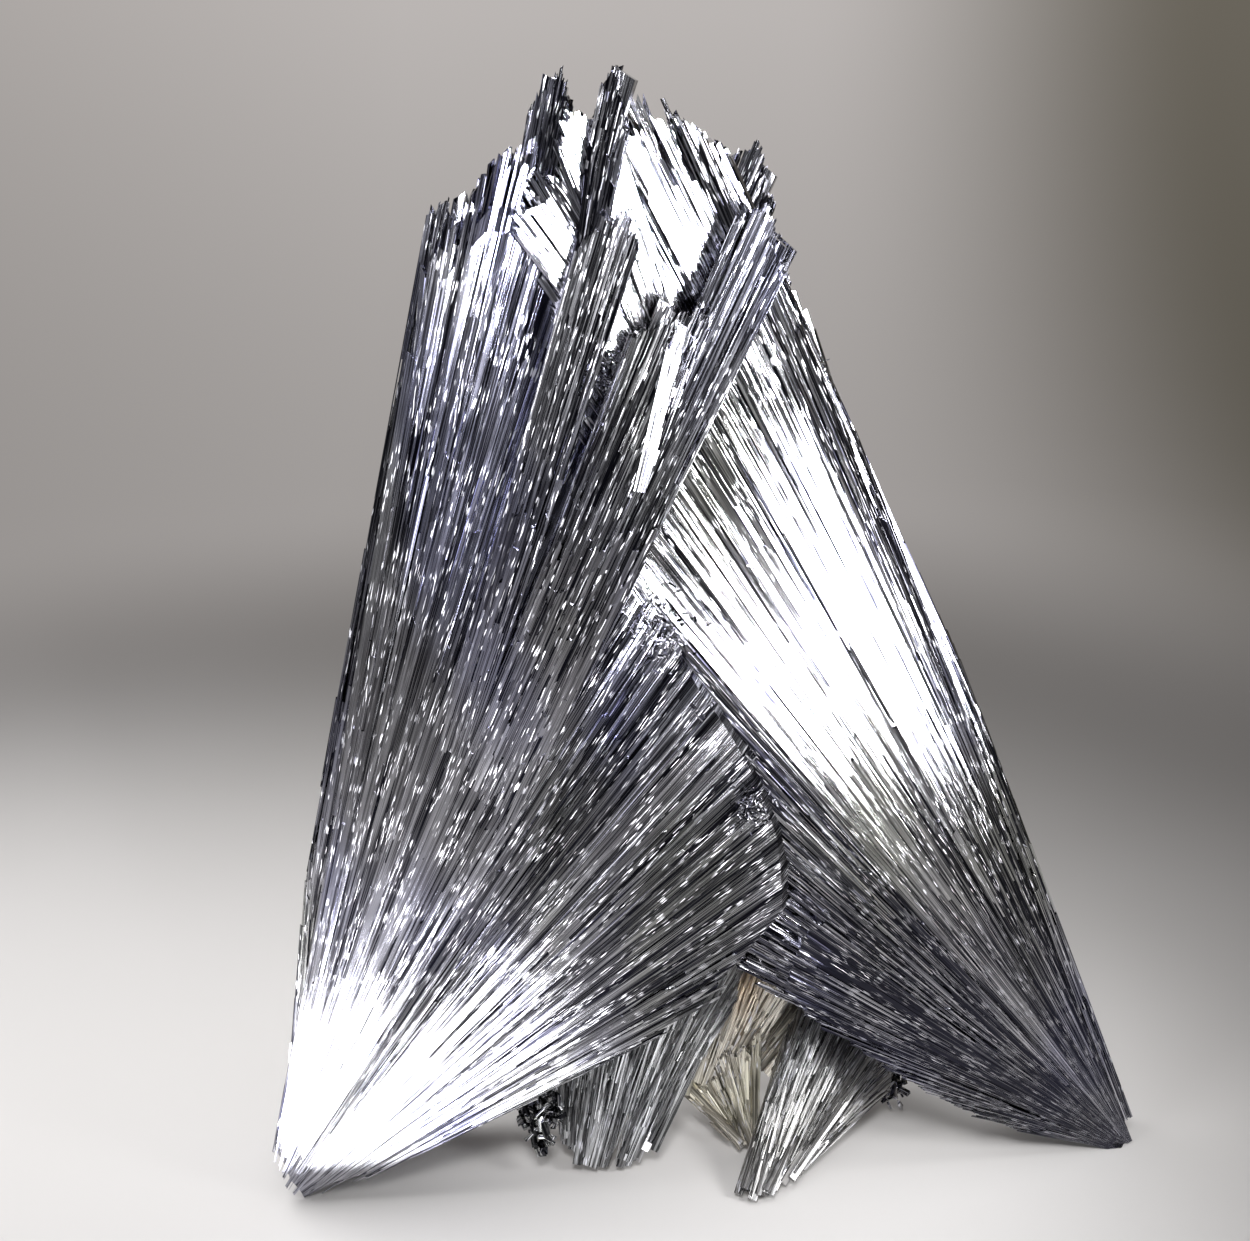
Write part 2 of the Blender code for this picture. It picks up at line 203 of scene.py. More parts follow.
class NeedleShape:
    """One needle of unit size, made with operators and kept as arrays for copying."""

    def __init__(self, sides: int, flare: float, joints: int) -> None:
        """Make the shape.

        Args:
            sides: faces round the needle.
            flare: size of its start as a share of its end.
            joints: rings of edges between its ends.
        """
        bm = bmesh.new()
        bmesh.ops.create_cone(bm, cap_ends=True, segments=sides, radius1=0.5 * flare, radius2=0.5, depth=1.0)
        bmesh.ops.translate(bm, vec=(0.0, 0.0, 0.5), verts=bm.verts)
        long = [edge for edge in bm.edges if abs(edge.verts[0].co.z - edge.verts[1].co.z) > 0.5]
        bmesh.ops.subdivide_edges(bm, edges=long, cuts=joints, use_grid_fill=True)
        bmesh.ops.rotate(bm, cent=(0, 0, 0), matrix=Matrix.Rotation(math.pi / sides, 3, "Z"), verts=bm.verts)
        self.corners = np.array([vert.co[:] for vert in bm.verts])
        self.loops = np.array([vert.index for face in bm.faces for vert in face.verts])
        self.counts = np.array([len(face.verts) for face in bm.faces])
        bm.free()

    def mesh(self, name: str, rows: Needles, seed: int,
             grain_at: Callable[[Array], Array] | None = None) -> bpy.types.Mesh:
        """Copy the shape for each needle, into one mesh.

        Args:
            name: the mesh's name.
            rows: the needles.
            seed: seed for where each needle reads its grain.
            grain_at: gives places their grain, where it runs on from needle to needle.

        Returns:
            The mesh, flat shaded, with its grain and its tones.
        """
        count, size = len(rows.start), len(self.corners)
        step = rows.end - rows.start
        along = unit(step)
        across, deep = cross_axes(rows.out, along, rows.roll[:, None])
        x, y, z = self.corners.T[:, :, None]
        width, thick, slant = (values[:, None, None] for values in (rows.width, rows.thick, rows.slant))
        places = (rows.start[:, None] + x * width * across[:, None] + y * thick * deep[:, None]
                  + z * step[:, None] + x * z * slant * width * along[:, None])
        mesh = bpy.data.meshes.new(name)
        mesh.vertices.add(count * size)
        mesh.vertices.foreach_set("co", to_world(places.reshape(-1, 3)).ravel())
        loops = (self.loops[None] + (np.arange(count) * size)[:, None]).ravel()
        mesh.loops.add(len(loops))
        mesh.loops.foreach_set("vertex_index", loops)
        starts = np.concatenate(([0], np.cumsum(np.tile(self.counts, count))[:-1]))
        mesh.polygons.add(len(starts))
        mesh.polygons.foreach_set("loop_start", starts)
        mesh.update(calc_edges=True)
        mesh.shade_flat()
        shift = np.random.default_rng(seed).uniform(0.0, GRAIN_RANGE, (count, 2, 1))
        u = shift[:, 0] + z[:, 0] * np.linalg.norm(step, axis=1)[:, None]
        v = shift[:, 1] + (x + 0.4 * y)[:, 0] * rows.width[:, None]
        grain = np.stack((u.ravel(), v.ravel()), axis=1)
        if grain_at is not None:
            grain = 0.25 * grain * (0.0, 1.0) + grain_at(places.reshape(-1, 3))
        paint(mesh, loops, grain, np.repeat(rows.tone, size))
        return mesh


# Materials


class Nodes:
    """Short ways to add and join nodes in one tree."""

    def __init__(self, tree: bpy.types.NodeTree) -> None:
        """Keep the tree."""
        self.tree = tree

    def add(self, kind: str, values: dict | None = None, **settings: object) -> bpy.types.Node:
        """Add a node.

        Args:
            kind: its type.
            values: what its inputs take, by name or number.
            settings: its own settings.

        Returns:
            The node.
        """
        node = self.tree.nodes.new(kind)
        for key, value in settings.items():
            setattr(node, key, value)
        for key, value in (values or {}).items():
            self.put(node.inputs[key], value)
        return node

    def put(self, socket: Socket, value: object) -> None:
        """Link a socket to another, or set its value.

        Args:
            socket: the socket.
            value: the other socket, or the value, a triple for a colour.
        """
        if isinstance(value, Socket):
            self.tree.links.new(value, socket)
        else:
            socket.default_value = (*value, 1.0) if socket.type == "RGBA" else value

    def math(self, operation: str, a: object, b: object = 0.0, clamp: bool = False) -> Socket:
        """Return the result of a math node."""
        return self.add("ShaderNodeMath", {0: a, 1: b}, operation=operation, use_clamp=clamp).outputs[0]

    def noise(self, vector: object, size: float, detail: float, scale: Triple = (1.0, 1.0, 1.0),
              axes: str = "2D") -> Socket:
        """Return a noise value from a vector scaled along its axes."""
        values = {"Vector": self.add("ShaderNodeMapping", {"Vector": vector, "Scale": scale}).outputs[0],
                  "Scale": size, "Detail": detail}
        return self.add("ShaderNodeTexNoise", values, noise_dimensions=axes).outputs["Fac"]

    def span(self, value: object, low: float, high: float, to: Pair = (0.0, 1.0),
             smooth: bool = False) -> Socket:
        """Return a value mapped from one range to another, clamped, and eased if smooth."""
        return self.add("ShaderNodeMapRange", {0: value, 1: low, 2: high, 3: to[0], 4: to[1]},
                        interpolation_type="SMOOTHSTEP" if smooth else "LINEAR").outputs[0]

    def blend(self, factor: object, a: object, b: object, kind: str = "MIX") -> Socket:
        """Return a mix of two colours."""
        values = {0: factor, 6: a, 7: b}
        return self.add("ShaderNodeMix", values, data_type="RGBA", blend_type=kind).outputs[2]


@cache
def crystal_grain() -> bpy.types.NodeTree:
    """Build the group that draws a blade's long grain, once.

    Returns:
        The group, with an input for the strength of its lines.
    """
    tree = bpy.data.node_groups.new("crystal_grain", "ShaderNodeTree")
    tree.interface.new_socket(name="Lines", in_out="INPUT", socket_type="NodeSocketFloat")
    nodes = Nodes(tree)
    uv = nodes.add("ShaderNodeUVMap", uv_map=GRAIN_UV).outputs[0]
    # Each piece's tone, which on the fans carries painted light and shading.
    own = nodes.add("ShaderNodeAttribute", attribute_name=TONE).outputs["Fac"]
    near, far = (nodes.noise(uv, 1.0, 1.0, (0.10, fine, 1.0)) for fine in (6.5, 13.0))
    length = nodes.add("ShaderNodeSeparateXYZ", {0: uv}).outputs[0]
    mixed = nodes.add("ShaderNodeMix", {0: nodes.span(length, 16.0, 44.0), 2: near, 3: far}).outputs[0]
    coarse = nodes.noise(uv, 1.0, 0.0, (0.05, 1.8, 1.0))
    lines = nodes.math("ADD", nodes.span(mixed, 0.38, 0.62, (0.0, 0.62)),
                       nodes.span(coarse, 0.35, 0.65, (0.0, 0.38)))
    weight = nodes.add("NodeGroupInput").outputs["Lines"]
    streak = nodes.math("MULTIPLY", nodes.math("SUBTRACT", lines, 0.5), weight)
    place = nodes.add("ShaderNodeTexCoord").outputs["Object"]
    patches = nodes.noise(place, 120.0, 1.0, (1.0, 1.0, 0.45), "3D")
    wear = nodes.noise(uv, 1.0, 1.0, (0.35, 0.8, 1.0))
    dashes = nodes.span(nodes.noise(uv, 1.0, 0.0, (1.1, 11.0, 1.0)), 0.64, 0.74)
    # Shade is the tone with its streaks, so on the fans it carries painted light and shading.
    made = {"Shade": nodes.math("ADD", own, streak, clamp=True), "Height": lines, "Wear": wear,
            "First tint": nodes.span(patches, 0.50, 0.66), "Second tint": nodes.span(patches, 0.46, 0.32),
            "Chips": nodes.math("MULTIPLY", dashes, nodes.span(wear, 0.46, 0.62))}
    for key in made:
        tree.interface.new_socket(name=key, in_out="OUTPUT", socket_type="NodeSocketFloat")
    nodes.add("NodeGroupOutput", made)
    return tree


@dataclass(frozen=True)
class MetalFinish:
    """A striated crystal finish."""

    name: str
    slot: str  # name of a material slot
    dark: Triple  # colour of its darkest streaks
    bright: Triple  # colour of its brightest streaks
    first: Triple = (0.66, 0.68, 1.0)  # colour of the first wide patches
    first_share: float = 0.6  # how strong they are
    second: Triple = (0.97, 1.0, 0.78)  # colour of the second wide patches
    second_share: float = 0.45  # how strong they are
    chip: Triple = (0.7, 0.7, 0.75)  # colour of the small crushed places
    rough: Pair = (0.07, 0.2)  # roughness of its smoothest and dullest places
    lines: float = 1.45  # strength of its streaks
    bump: float = 0.07  # strength of its relief

    @cache
    def material(self) -> Material:
        """Make the finish as a node material, once.

        Returns:
            The material.
        """
        made = bpy.data.materials.new(self.name)
        made.use_nodes = True
        nodes = Nodes(made.node_tree)
        shader = made.node_tree.nodes["Principled BSDF"]
        masks = nodes.add("ShaderNodeGroup", {"Lines": self.lines}, node_tree=crystal_grain()).outputs
        # Colour from the tone, which on the fans carries painted light and shading.
        colour = nodes.blend(masks["Shade"], self.dark, self.bright)
        for key, tint, share in (("First tint", self.first, self.first_share),
                                 ("Second tint", self.second, self.second_share)):
            tinted = nodes.blend(1.0, colour, tint, "MULTIPLY")
            colour = nodes.blend(nodes.math("MULTIPLY", masks[key], share), colour, tinted)
        nodes.put(shader.inputs["Base Color"], nodes.blend(masks["Chips"], colour, self.chip))
        worn = nodes.math("MULTIPLY", nodes.math("ADD", masks["Wear"], masks["Height"]), 0.6)
        rough = nodes.math("ADD", nodes.span(worn, 0.3, 0.8, self.rough),
                           nodes.math("MULTIPLY", masks["Chips"], CHIP_ROUGHNESS))
        nodes.put(shader.inputs["Roughness"], rough)
        relief = {"Strength": self.bump, "Distance": GRAIN_DEPTH, "Height": masks["Height"]}
        nodes.put(shader.inputs["Normal"], nodes.add("ShaderNodeBump", relief).outputs[0])
        shader.inputs["Metallic"].default_value = 1.0
        return made


# Pieces


def link(name: str, data: bpy.types.ID) -> bpy.types.Object:
    """Add an object to the scene, and return it."""
    bpy.context.scene.collection.objects.link(made := bpy.data.objects.new(name, data))
    return made


def add_piece(name: str, mesh: bpy.types.Mesh, finish: MetalFinish, stands_for: str = "") -> None:
    """Add a finished piece that rides on the root body.

    Args:
        name: the piece's name.
        mesh: its shape, in the shared frame.
        finish: its finish.
        stands_for: the plain node that it replaces, if any.
    """
    piece = link(name, mesh)
    mesh.materials.append(finish.material())
    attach(piece, "root")
    if stands_for:
        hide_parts(stands_for)
    LOG.info("%s: %d faces", name, len(mesh.polygons))


class Strands:
    """Bundles of neighbouring blades, each with values of its own."""

    def __init__(self, rng: Random, low: float, high: float, width: float) -> None:
        """Split a range of angles into uneven bundles.

        Args:
            rng: source of the values.
            low: first angle.
            high: last angle.
            width: mean width of a bundle.
        """
        breaks = max(2, round((high - low) / width))
        self.breaks = np.sort(rng.uniform(low, high, breaks))
        self.count = breaks + 1
        self.roll = rng.normal(0.0, 1.0, self.count)
        self.lift = rng.uniform(0.0, 1.0, self.count)
        self.turn = rng.normal(0.0, 1.0, self.count)
        self.tone = rng.normal(0.0, 1.0, self.count)
        self.short = rng.uniform(0.0, 1.0, self.count)

    def at(self, angle: Array) -> Array:
        """Return each angle's bundle number."""
        return np.searchsorted(self.breaks, angle)


@dataclass
class Blade:
    """A long blade grown from a bundle of needles along its own path."""

    width: float  # size across at its end
    thick: float  # depth at its end
    path: Path3  # places along its middle
    count: int  # how many needles cover it
    tone: float
    narrow: float = 0.6  # size at its start as a share of its end
    roll: float = 0.0  # turn about its axis
    teeth: float = 2.5  # the most that a needle ends short of its end

    def at(self, share: Array) -> Array:
        """Return the places at shares of the path's length."""
        return path_at(self.path, share, by_length=True)

    def needles(self, seed: int) -> Needles:
        """Grow the blade's needles over a few wide laths that fill it.

        Args:
            seed: seed of the growth.

        Returns:
            The needles and the laths.
        """
        rng = np.random.default_rng(seed)
        count = self.count
        total = np.linalg.norm(np.diff(np.array(self.path), axis=0), axis=1).sum()
        turn = rng.uniform(0.0, 2.0 * math.pi, count)
        lean = rng.uniform(0.78, 1.0, count)
        u, v = np.cos(turn), np.sin(turn)
        square = 1.0 / np.maximum(np.abs(u), np.abs(v)) ** 0.7
        u, v = u * square * lean, v * square * lean
        span = np.minimum(1.0, log_even(rng, (5.0, 24.0), count) / total)
        first = np.clip(rng.uniform(-0.3, 1.0, count), 0.0, 1.0 - 0.3 * span)
        tip = rng.uniform(-0.6, 0.6)
        teeth = (self.teeth * np.abs(u - tip) + rng.uniform(0.0, 0.6, count)) / total
        last = np.minimum(first + span, 1.0 - teeth)
        first = np.minimum(first, last - 1.5 / total)
        along = unit(self.at(np.minimum(last + 0.02, 1.0)) - self.at(np.maximum(last - 0.06, 0.0)))
        across, deep = cross_axes(FRONT, along, self.roll)

        def place(share: Array) -> Array:
            """Return each needle's place at a share of the path."""
            offset = across * (u * self.width)[:, None] + deep * (v * self.thick)[:, None]
            return self.at(share) + offset * self.size_at(share)[:, None] / 2

        facing = across * (u ** 3)[:, None] * 0.6 + deep * v[:, None]
        facing = np.where((np.abs(v) > 0.5)[:, None], deep * np.sign(v)[:, None], facing)
        width = log_even(rng, (0.12, 0.5), count)
        tone = np.clip(self.tone + rng.normal(0.0, 0.2, count), 0.0, 1.0)
        thick, roll = width * rng.uniform(0.35, 0.8, count), rng.normal(0.0, 3.5, count)
        slant = rng.uniform(-2.0, 2.0, count)
        rows = Needles(place(first), place(last), facing, width, thick, roll, slant, tone)
        return Needles.joined((self.middle(), rows))

    def size_at(self, share: Array) -> Array:
        """Return the size at shares of the path, as a share of the size at its end."""
        return self.narrow + (1.0 - self.narrow) * share

    def middle(self) -> Needles:
        """Make the wide overlapping laths inside the blade.

        Returns:
            The laths.
        """
        shares = np.linspace(0.0, 0.97 - 0.5 * self.teeth / 30.0, 5)
        first, last = shares[:-1], np.minimum(shares[1:] + 0.04, 0.97)
        size, ones = 0.92 * self.size_at(last), np.ones(len(first))
        return Needles(self.at(first), self.at(last), np.tile(FRONT, (len(first), 1)), self.width * size,
                       self.thick * size, self.roll * ones, 0.3 * ones, 0.35 * ones)


@dataclass
class Spray:
    """A curved curtain of fine blades from a row of feet to a row of tops."""

    feet: Path3  # places along the curtain's lower end
    tops: Path3  # places along its upper end
    bend: Triple  # how far the blades bow at their middle
    count: int
    tone: float
    thick: float = 2.4  # the curtain's depth at its top
    needle: Pair = (0.14, 0.42)  # smallest and largest width of a needle
    teeth: float = 1.6  # the most that a needle ends short of its top

    def needles(self, seed: int) -> Needles:
        """Grow the spray's fine needles, and a few wide ones that fill it.

        Args:
            seed: seed of the growth.

        Returns:
            The needles.
        """
        rng = np.random.default_rng(seed)
        fillers = max(12, self.count // 50)
        return Needles.joined((self.rows(rng, self.count, self.needle, inner=False),
                               self.rows(rng, fillers, (0.7, 1.3), inner=True)))

    def rows(self, rng: Random, count: int, sizes: Pair, inner: bool) -> Needles:
        """Grow needles of one kind.

        Args:
            rng: source of the values.
            count: how many needles.
            sizes: smallest and largest width.
            inner: whether they run whole through the curtain's middle, and not in parts near its faces.

        Returns:
            The needles.
        """
        share = rng.random(count)
        foot = path_at(self.feet, share, by_length=False) + rng.normal(0.0, 0.25, (count, 3))
        strand = Strands(rng, 0.0, 1.0, 0.06)
        s = strand.at(share)
        top = path_at(self.tops, share + rng.normal(0.0, 0.02, count), by_length=False)
        total = np.linalg.norm(top - foot, axis=1)
        rise = (top - foot) * (1.0 - self.teeth * strand.short[s] / total)[:, None]
        level = rng.uniform(-0.5, 0.5, count)
        shown = rng.random(count) < 0.7
        level = np.where(shown, np.sign(level) * (0.5 - 0.1 * rng.random(count)), level)
        deep = np.stack((0.25 * level, level, np.zeros(count)), axis=1) * self.thick * (0.6 if inner else 1.0)
        first = np.sqrt(rng.uniform(0.0, 0.85, count))
        last = np.minimum(1.0, first + rng.uniform(0.2, 0.6, count))
        first = np.minimum(first, last - 0.08)
        if inner:
            first, last = np.zeros(count), np.ones(count)

        def place(t: Array) -> Array:
            """Return each needle's place at a share of its blade."""
            t = t[:, None]
            return foot + rise * t + 4.0 * t * (1.0 - t) * np.array(self.bend) + deep * (0.3 + 0.7 * t)

        out = np.where((level > 0)[:, None], -FRONT, FRONT) + rng.normal(0.0, 0.15, (count, 3))
        width = rng.uniform(*sizes, count) * (0.6 + 0.4 * last)
        tone = np.clip(self.tone + 0.12 * strand.tone[s] + rng.normal(0.0, 0.14, count), 0.0, 1.0)
        thick = width * rng.uniform(0.4, 0.8, count)
        roll = 12.0 * strand.roll[s] + rng.normal(0.0, 14.0, count)
        slant = rng.uniform(-1.8, 1.8, count)
        return Needles(place(first), place(last), out, width, thick, roll, slant, tone)


@dataclass
class Flakes:
    """Short broken plates scattered in a small patch."""

    centre: Triple  # middle of the patch
    size: Triple  # extent of the patch
    count: int
    width: Pair  # smallest and largest width of a plate
    tone: float
    long: Pair = (0.3, 1.0)  # shortest and longest plate

    def needles(self, seed: int) -> Needles:
        """Scatter the plates, as short wide needles that point anywhere.

        Args:
            seed: seed of the scatter.

        Returns:
            The plates.
        """
        rng = np.random.default_rng(seed)
        places = np.array(self.centre) + rng.normal(0.0, 0.4, (self.count, 3)) * np.array(self.size)
        along = unit(rng.normal(0.0, 1.0, (self.count, 3)))
        half = along * rng.uniform(*self.long, (self.count, 1)) / 2
        width = rng.uniform(*self.width, self.count)
        out = unit(np.cross(along, rng.normal(0.0, 1.0, (self.count, 3))))
        slant = rng.uniform(-1.0, 1.0, self.count)
        tone = np.clip(rng.normal(self.tone, 0.2, self.count), 0.0, 1.0)
        roll = np.zeros(self.count)
        return Needles(places - half, places + half, out, width, width * 0.6, roll, slant, tone)


@dataclass
class Fan:
    """A flat fan of blades whose plane turns about the upright line through its root."""

    name: str  # also its node's name
    number: int  # starts its seeds
    finish: MetalFinish
    root: Triple  # where the axes of its blades meet
    yaw: float  # slope of its plane in plan
    thick: Pair  # at its root and at its full depth
    reach: Rows  # rows of (angle, reach)
    near: Rows  # rows of (angle, reach) where the blades start
    lean: Rows  # rows of (angle, slope) by which its strips lean across
    tone_and_painted_light: Rows  # rows of (angle, tone) by which its strips are painted brighter or darker: painted light and shading
    painted_root_shading: float  # painted shading: tone by which it is painted darker at its root, brighter where negative
    columns: int  # strips across its core
    rim_count: int  # needles that end along its outline
    edge_count: int  # needles along its two straight edges
    blades: tuple[Blade, ...]
    flakes: tuple[Flakes, ...]
    crossed_by: "Fan | None" = None  # the fan whose blades lie over its own

    def __post_init__(self) -> None:
        """Note the first and last angle."""
        self.low, self.high = self.reach[0][0], self.reach[-1][0]

    def painted_light_at(self, angle: Array, reach: Array) -> Array:
        """Return the painted light and shading: how much brighter the strips are painted at each angle and
        distance from the root, darker where negative.
        """
        return table_at(self.tone_and_painted_light, angle) - self.painted_root_shading * np.clip(1.6 - reach / 22.0, 0.0, 1.0)

    def thick_at(self, reach: Array) -> Array:
        """Return the thickness at each distance from the root."""
        return self.thick[0] + (self.thick[1] - self.thick[0]) * np.minimum(1.0, reach / FULL_THICK_AT)

    def point(self, angle: Array, reach: Array, depth: Array) -> Array:
        """Return the places at angles and distances from the root, and depths behind the fan's plane."""
        x, z = reach * np.cos(np.radians(angle)), reach * np.sin(np.radians(angle))
        return np.stack((self.root[0] + x, self.root[1] + self.yaw * x + depth, self.root[2] + z), axis=-1)

    def polar(self, places: Array) -> tuple[Array, Array]:
        """Return the distance from the root and the angle of each place."""
        x, z = places[..., 0] - self.root[0], places[..., 2] - self.root[2]
        return np.hypot(x, z), np.degrees(np.arctan2(z, x))

    def covers(self, places: Array) -> Array:
        """Return which places lie well inside the fan's outline."""
        reach, angle = self.polar(places)
        return (angle > self.low) & (angle < self.high) & (reach < table_at(self.reach, angle) - MARGIN)

    def grain(self, places: Array) -> Array:
        """Return places' grain coordinates: distance from the root, and angle."""
        reach, angle = self.polar(places)
        return np.stack((reach, angle * GRAIN_PER_DEGREE), axis=-1)

    def core(self, seed: int) -> bpy.types.Mesh:
        """Build the fan's solid middle: long flat-topped fibres on both faces, closed round its edge.

        Args:
            seed: seed of the fibres.

        Returns:
            Its mesh, in the shared frame.
        """
        rng = np.random.default_rng(seed)
        columns, rows = self.columns, CORE_ROWS
        bm = bmesh.new()
        bmesh.ops.create_grid(bm, x_segments=columns, y_segments=rows, size=0.5)
        made = bmesh.ops.extrude_face_region(bm, geom=bm.faces[:])
        lifted = {item for item in made["geom"] if isinstance(item, bmesh.types.BMVert)}
        back = np.array([vert in lifted for vert in bm.verts])
        u, share = (np.array([vert.co[axis] + 0.5 for vert in bm.verts]) for axis in (0, 1))
        column, row = np.round(u * columns).astype(int), np.round(share * rows).astype(int)
        angle = self.low + 0.5 + u * (self.high - self.low - 1.0)
        near = table_at(self.near, angle)
        reach = near + share ** 0.85 * (table_at(self.reach, angle) - CORE_PULL - near)
        wide, middle, fine = (Strands(rng, self.low, self.high, size) for size in (*BUNDLES, 0.3))
        a, b, c = wide.at(angle), middle.at(angle + np.where(back, 0.3, 0.0)), fine.at(angle)
        run = rng.uniform(4.0, 14.0, fine.count)[c]
        part = ((row + rng.uniform(0.0, 12.0, fine.count)[c]) / run).astype(int)
        table = rng.normal(0.0, 1.0, (fine.count, 14))
        slope = rng.normal(0.0, 1.0, (fine.count, 14))
        middles = (fine.breaks[1:] + fine.breaks[:-1]) / 2
        middles = np.concatenate(([self.low], middles, [self.high, self.high]))
        off = np.radians(angle - middles[np.minimum(c, len(middles) - 1)]) * reach
        lift = RELIEF[0] * wide.lift[a] + RELIEF[1] * middle.lift[b] + RELIEF[2] * table[c, part]
        slope = TILT * slope[c, part] + table_at(self.lean, angle)
        scale = np.minimum(1.0, reach / FULL_RELIEF_AT)
        lift = 0.15 + scale * (np.maximum(lift, 0.0) + slope * np.clip(off, -0.4, 0.4))
        edge = (column == 0) | (column == columns) | (row == 0) | (row == rows)
        lift = np.where(edge, -0.3, lift)
        places = self.point(angle, reach, np.where(back, 1.0, -1.0) * (self.thick_at(reach) / 2 + lift))
        places[:, 2] = np.maximum(places[:, 2], 0.0)
        for vert, place in zip(bm.verts, to_world(places)):
            vert.co = place
        bmesh.ops.recalc_face_normals(bm, faces=bm.faces[:])
        tone_and_painted_light = BASE_TONE + 0.08 * wide.tone[a] + 0.08 * middle.tone[b] + 0.1 * table[c, part]
        # Painted light and shading added to the fibres' own tone.
        tone_and_painted_light = np.clip(tone_and_painted_light + self.painted_light_at(angle, reach), DARKEST, 1.0)
        corners = np.array([vert.index for face in bm.faces for vert in face.verts])
        mesh = bpy.data.meshes.new(self.name + "_core")
        bm.to_mesh(mesh)
        bm.free()
        paint(mesh, corners, np.stack((reach, angle * GRAIN_PER_DEGREE), axis=-1), tone_and_painted_light)
        return mesh

    def face(self, side: Side, seed: int) -> Needles:
        """Grow the needles that lie on one broad face.

        Args:
            side: front or back.
            seed: seed of the growth.

        Returns:
            The needles.
        """
        rng = np.random.default_rng(seed)
        count = FACE_COUNT
        wide, middle, fine = (Strands(rng, self.low, self.high, size) for size in (*BUNDLES, 0.5))
        angle = rng.uniform(self.low, self.high, count)
        a, b, c = wide.at(angle), middle.at(angle), fine.at(angle)
        limit = table_at(self.reach, angle) - 3.0 * (0.25 * middle.short[b] + 0.75 * fine.short[c] ** 2)
        length = log_even(rng, FACE_SPAN, count) * (0.4 + 0.6 * limit / 60.0)
        begin = limit * np.sqrt(rng.random(count)) - 0.35 * length
        begin = np.maximum(np.minimum(begin, limit - 0.9 * length), table_at(self.near, angle) - 0.4)
        finish = np.minimum(begin + length, limit - rng.uniform(0.0, 0.6, count))
        turn = 0.5 * wide.turn[a] + 0.45 * middle.turn[b] + 0.3 * fine.turn[c]
        turn += rng.normal(0.0, FACE_STRAY, count)
        scale = np.minimum(1.0, finish / FULL_RELIEF_AT)
        lift = FACE_LIFT + (0.30 * wide.lift[a] + 0.30 * middle.lift[b] + 0.12 * fine.lift[c]) * scale
        sink = 0.05 + rng.uniform(0.0, 0.16, count)
        swing = np.degrees(np.radians(turn) * (finish - begin) / finish)
        start = self.point(angle, begin, side.value * (self.thick_at(begin) / 2 + lift - sink))
        end = self.point(angle + swing, finish, side.value * (self.thick_at(finish) / 2 + lift))
        width = 0.8 * (0.08 + 0.0042 * finish) * np.exp(rng.normal(0.0, 0.45, count))
        roll = 1.2 * wide.roll[a] + 1.2 * middle.roll[b] + rng.normal(0.0, FACE_SPREAD, count)
        roll += np.degrees(np.arctan(table_at(self.lean, angle)))
        loose = rng.random(count) < FACE_LOOSE
        roll = np.where(loose, rng.uniform(-70.0, 70.0, count), roll)
        tone = BASE_TONE + 0.08 * wide.tone[a] + 0.1 * middle.tone[b] + rng.normal(0.0, 0.16, count)
        # Painted light and shading added to the needles' tone.
        tone = np.clip(tone + self.painted_light_at(angle, finish), 0.0, 1.0)
        thick, slant = width * rng.uniform(0.45, 0.9, count), rng.uniform(-2.2, 2.2, count)
        return Needles(start, end, np.tile(-side.value * FRONT, (count, 1)), width, thick, roll, slant, tone)

    def rim(self, seed: int) -> Needles:
        """Grow the needles whose ends fill the fan's outline through its whole thickness.

        Args:
            seed: seed of the growth.

        Returns:
            The needles.
        """
        rng = np.random.default_rng(seed)
        count = self.rim_count
        angle = rng.uniform(self.low, self.high, count)
        crest, fine = (Strands(rng, self.low, self.high, size) for size in (1.5, 0.5))
        a, c = crest.at(angle), fine.at(angle)
        ends = np.concatenate(([self.low], crest.breaks, [self.high]))
        across = (angle - ends[a]) / np.maximum(ends[a + 1] - ends[a], 1e-3) - crest.short[a]
        limit = table_at(self.reach, angle) - 3.4 * np.abs(across) - 1.6 * fine.short[c] ** 2
        limit -= rng.uniform(0.0, 0.7, count)
        begin = np.maximum(limit - rng.uniform(6.0, 16.0, count), 1.5)
        level = rng.uniform(-0.5, 0.5, count)
        start = self.point(angle, begin, level * self.thick_at(begin))
        end = self.point(angle + rng.normal(0.0, 0.4, count), limit, level * self.thick_at(limit))
        width = rng.uniform(0.25, 0.9, count)
        tone = np.clip(0.4 + 0.12 * crest.tone[a] + rng.normal(0.0, 0.16, count), 0.0, 1.0)
        thick, roll = width * rng.uniform(0.3, 0.8, count), rng.normal(0.0, 26.0, count)
        slant = rng.uniform(-2.4, 2.4, count)
        return Needles(start, end, np.tile(FRONT, (count, 1)), width, thick, roll, slant, tone)

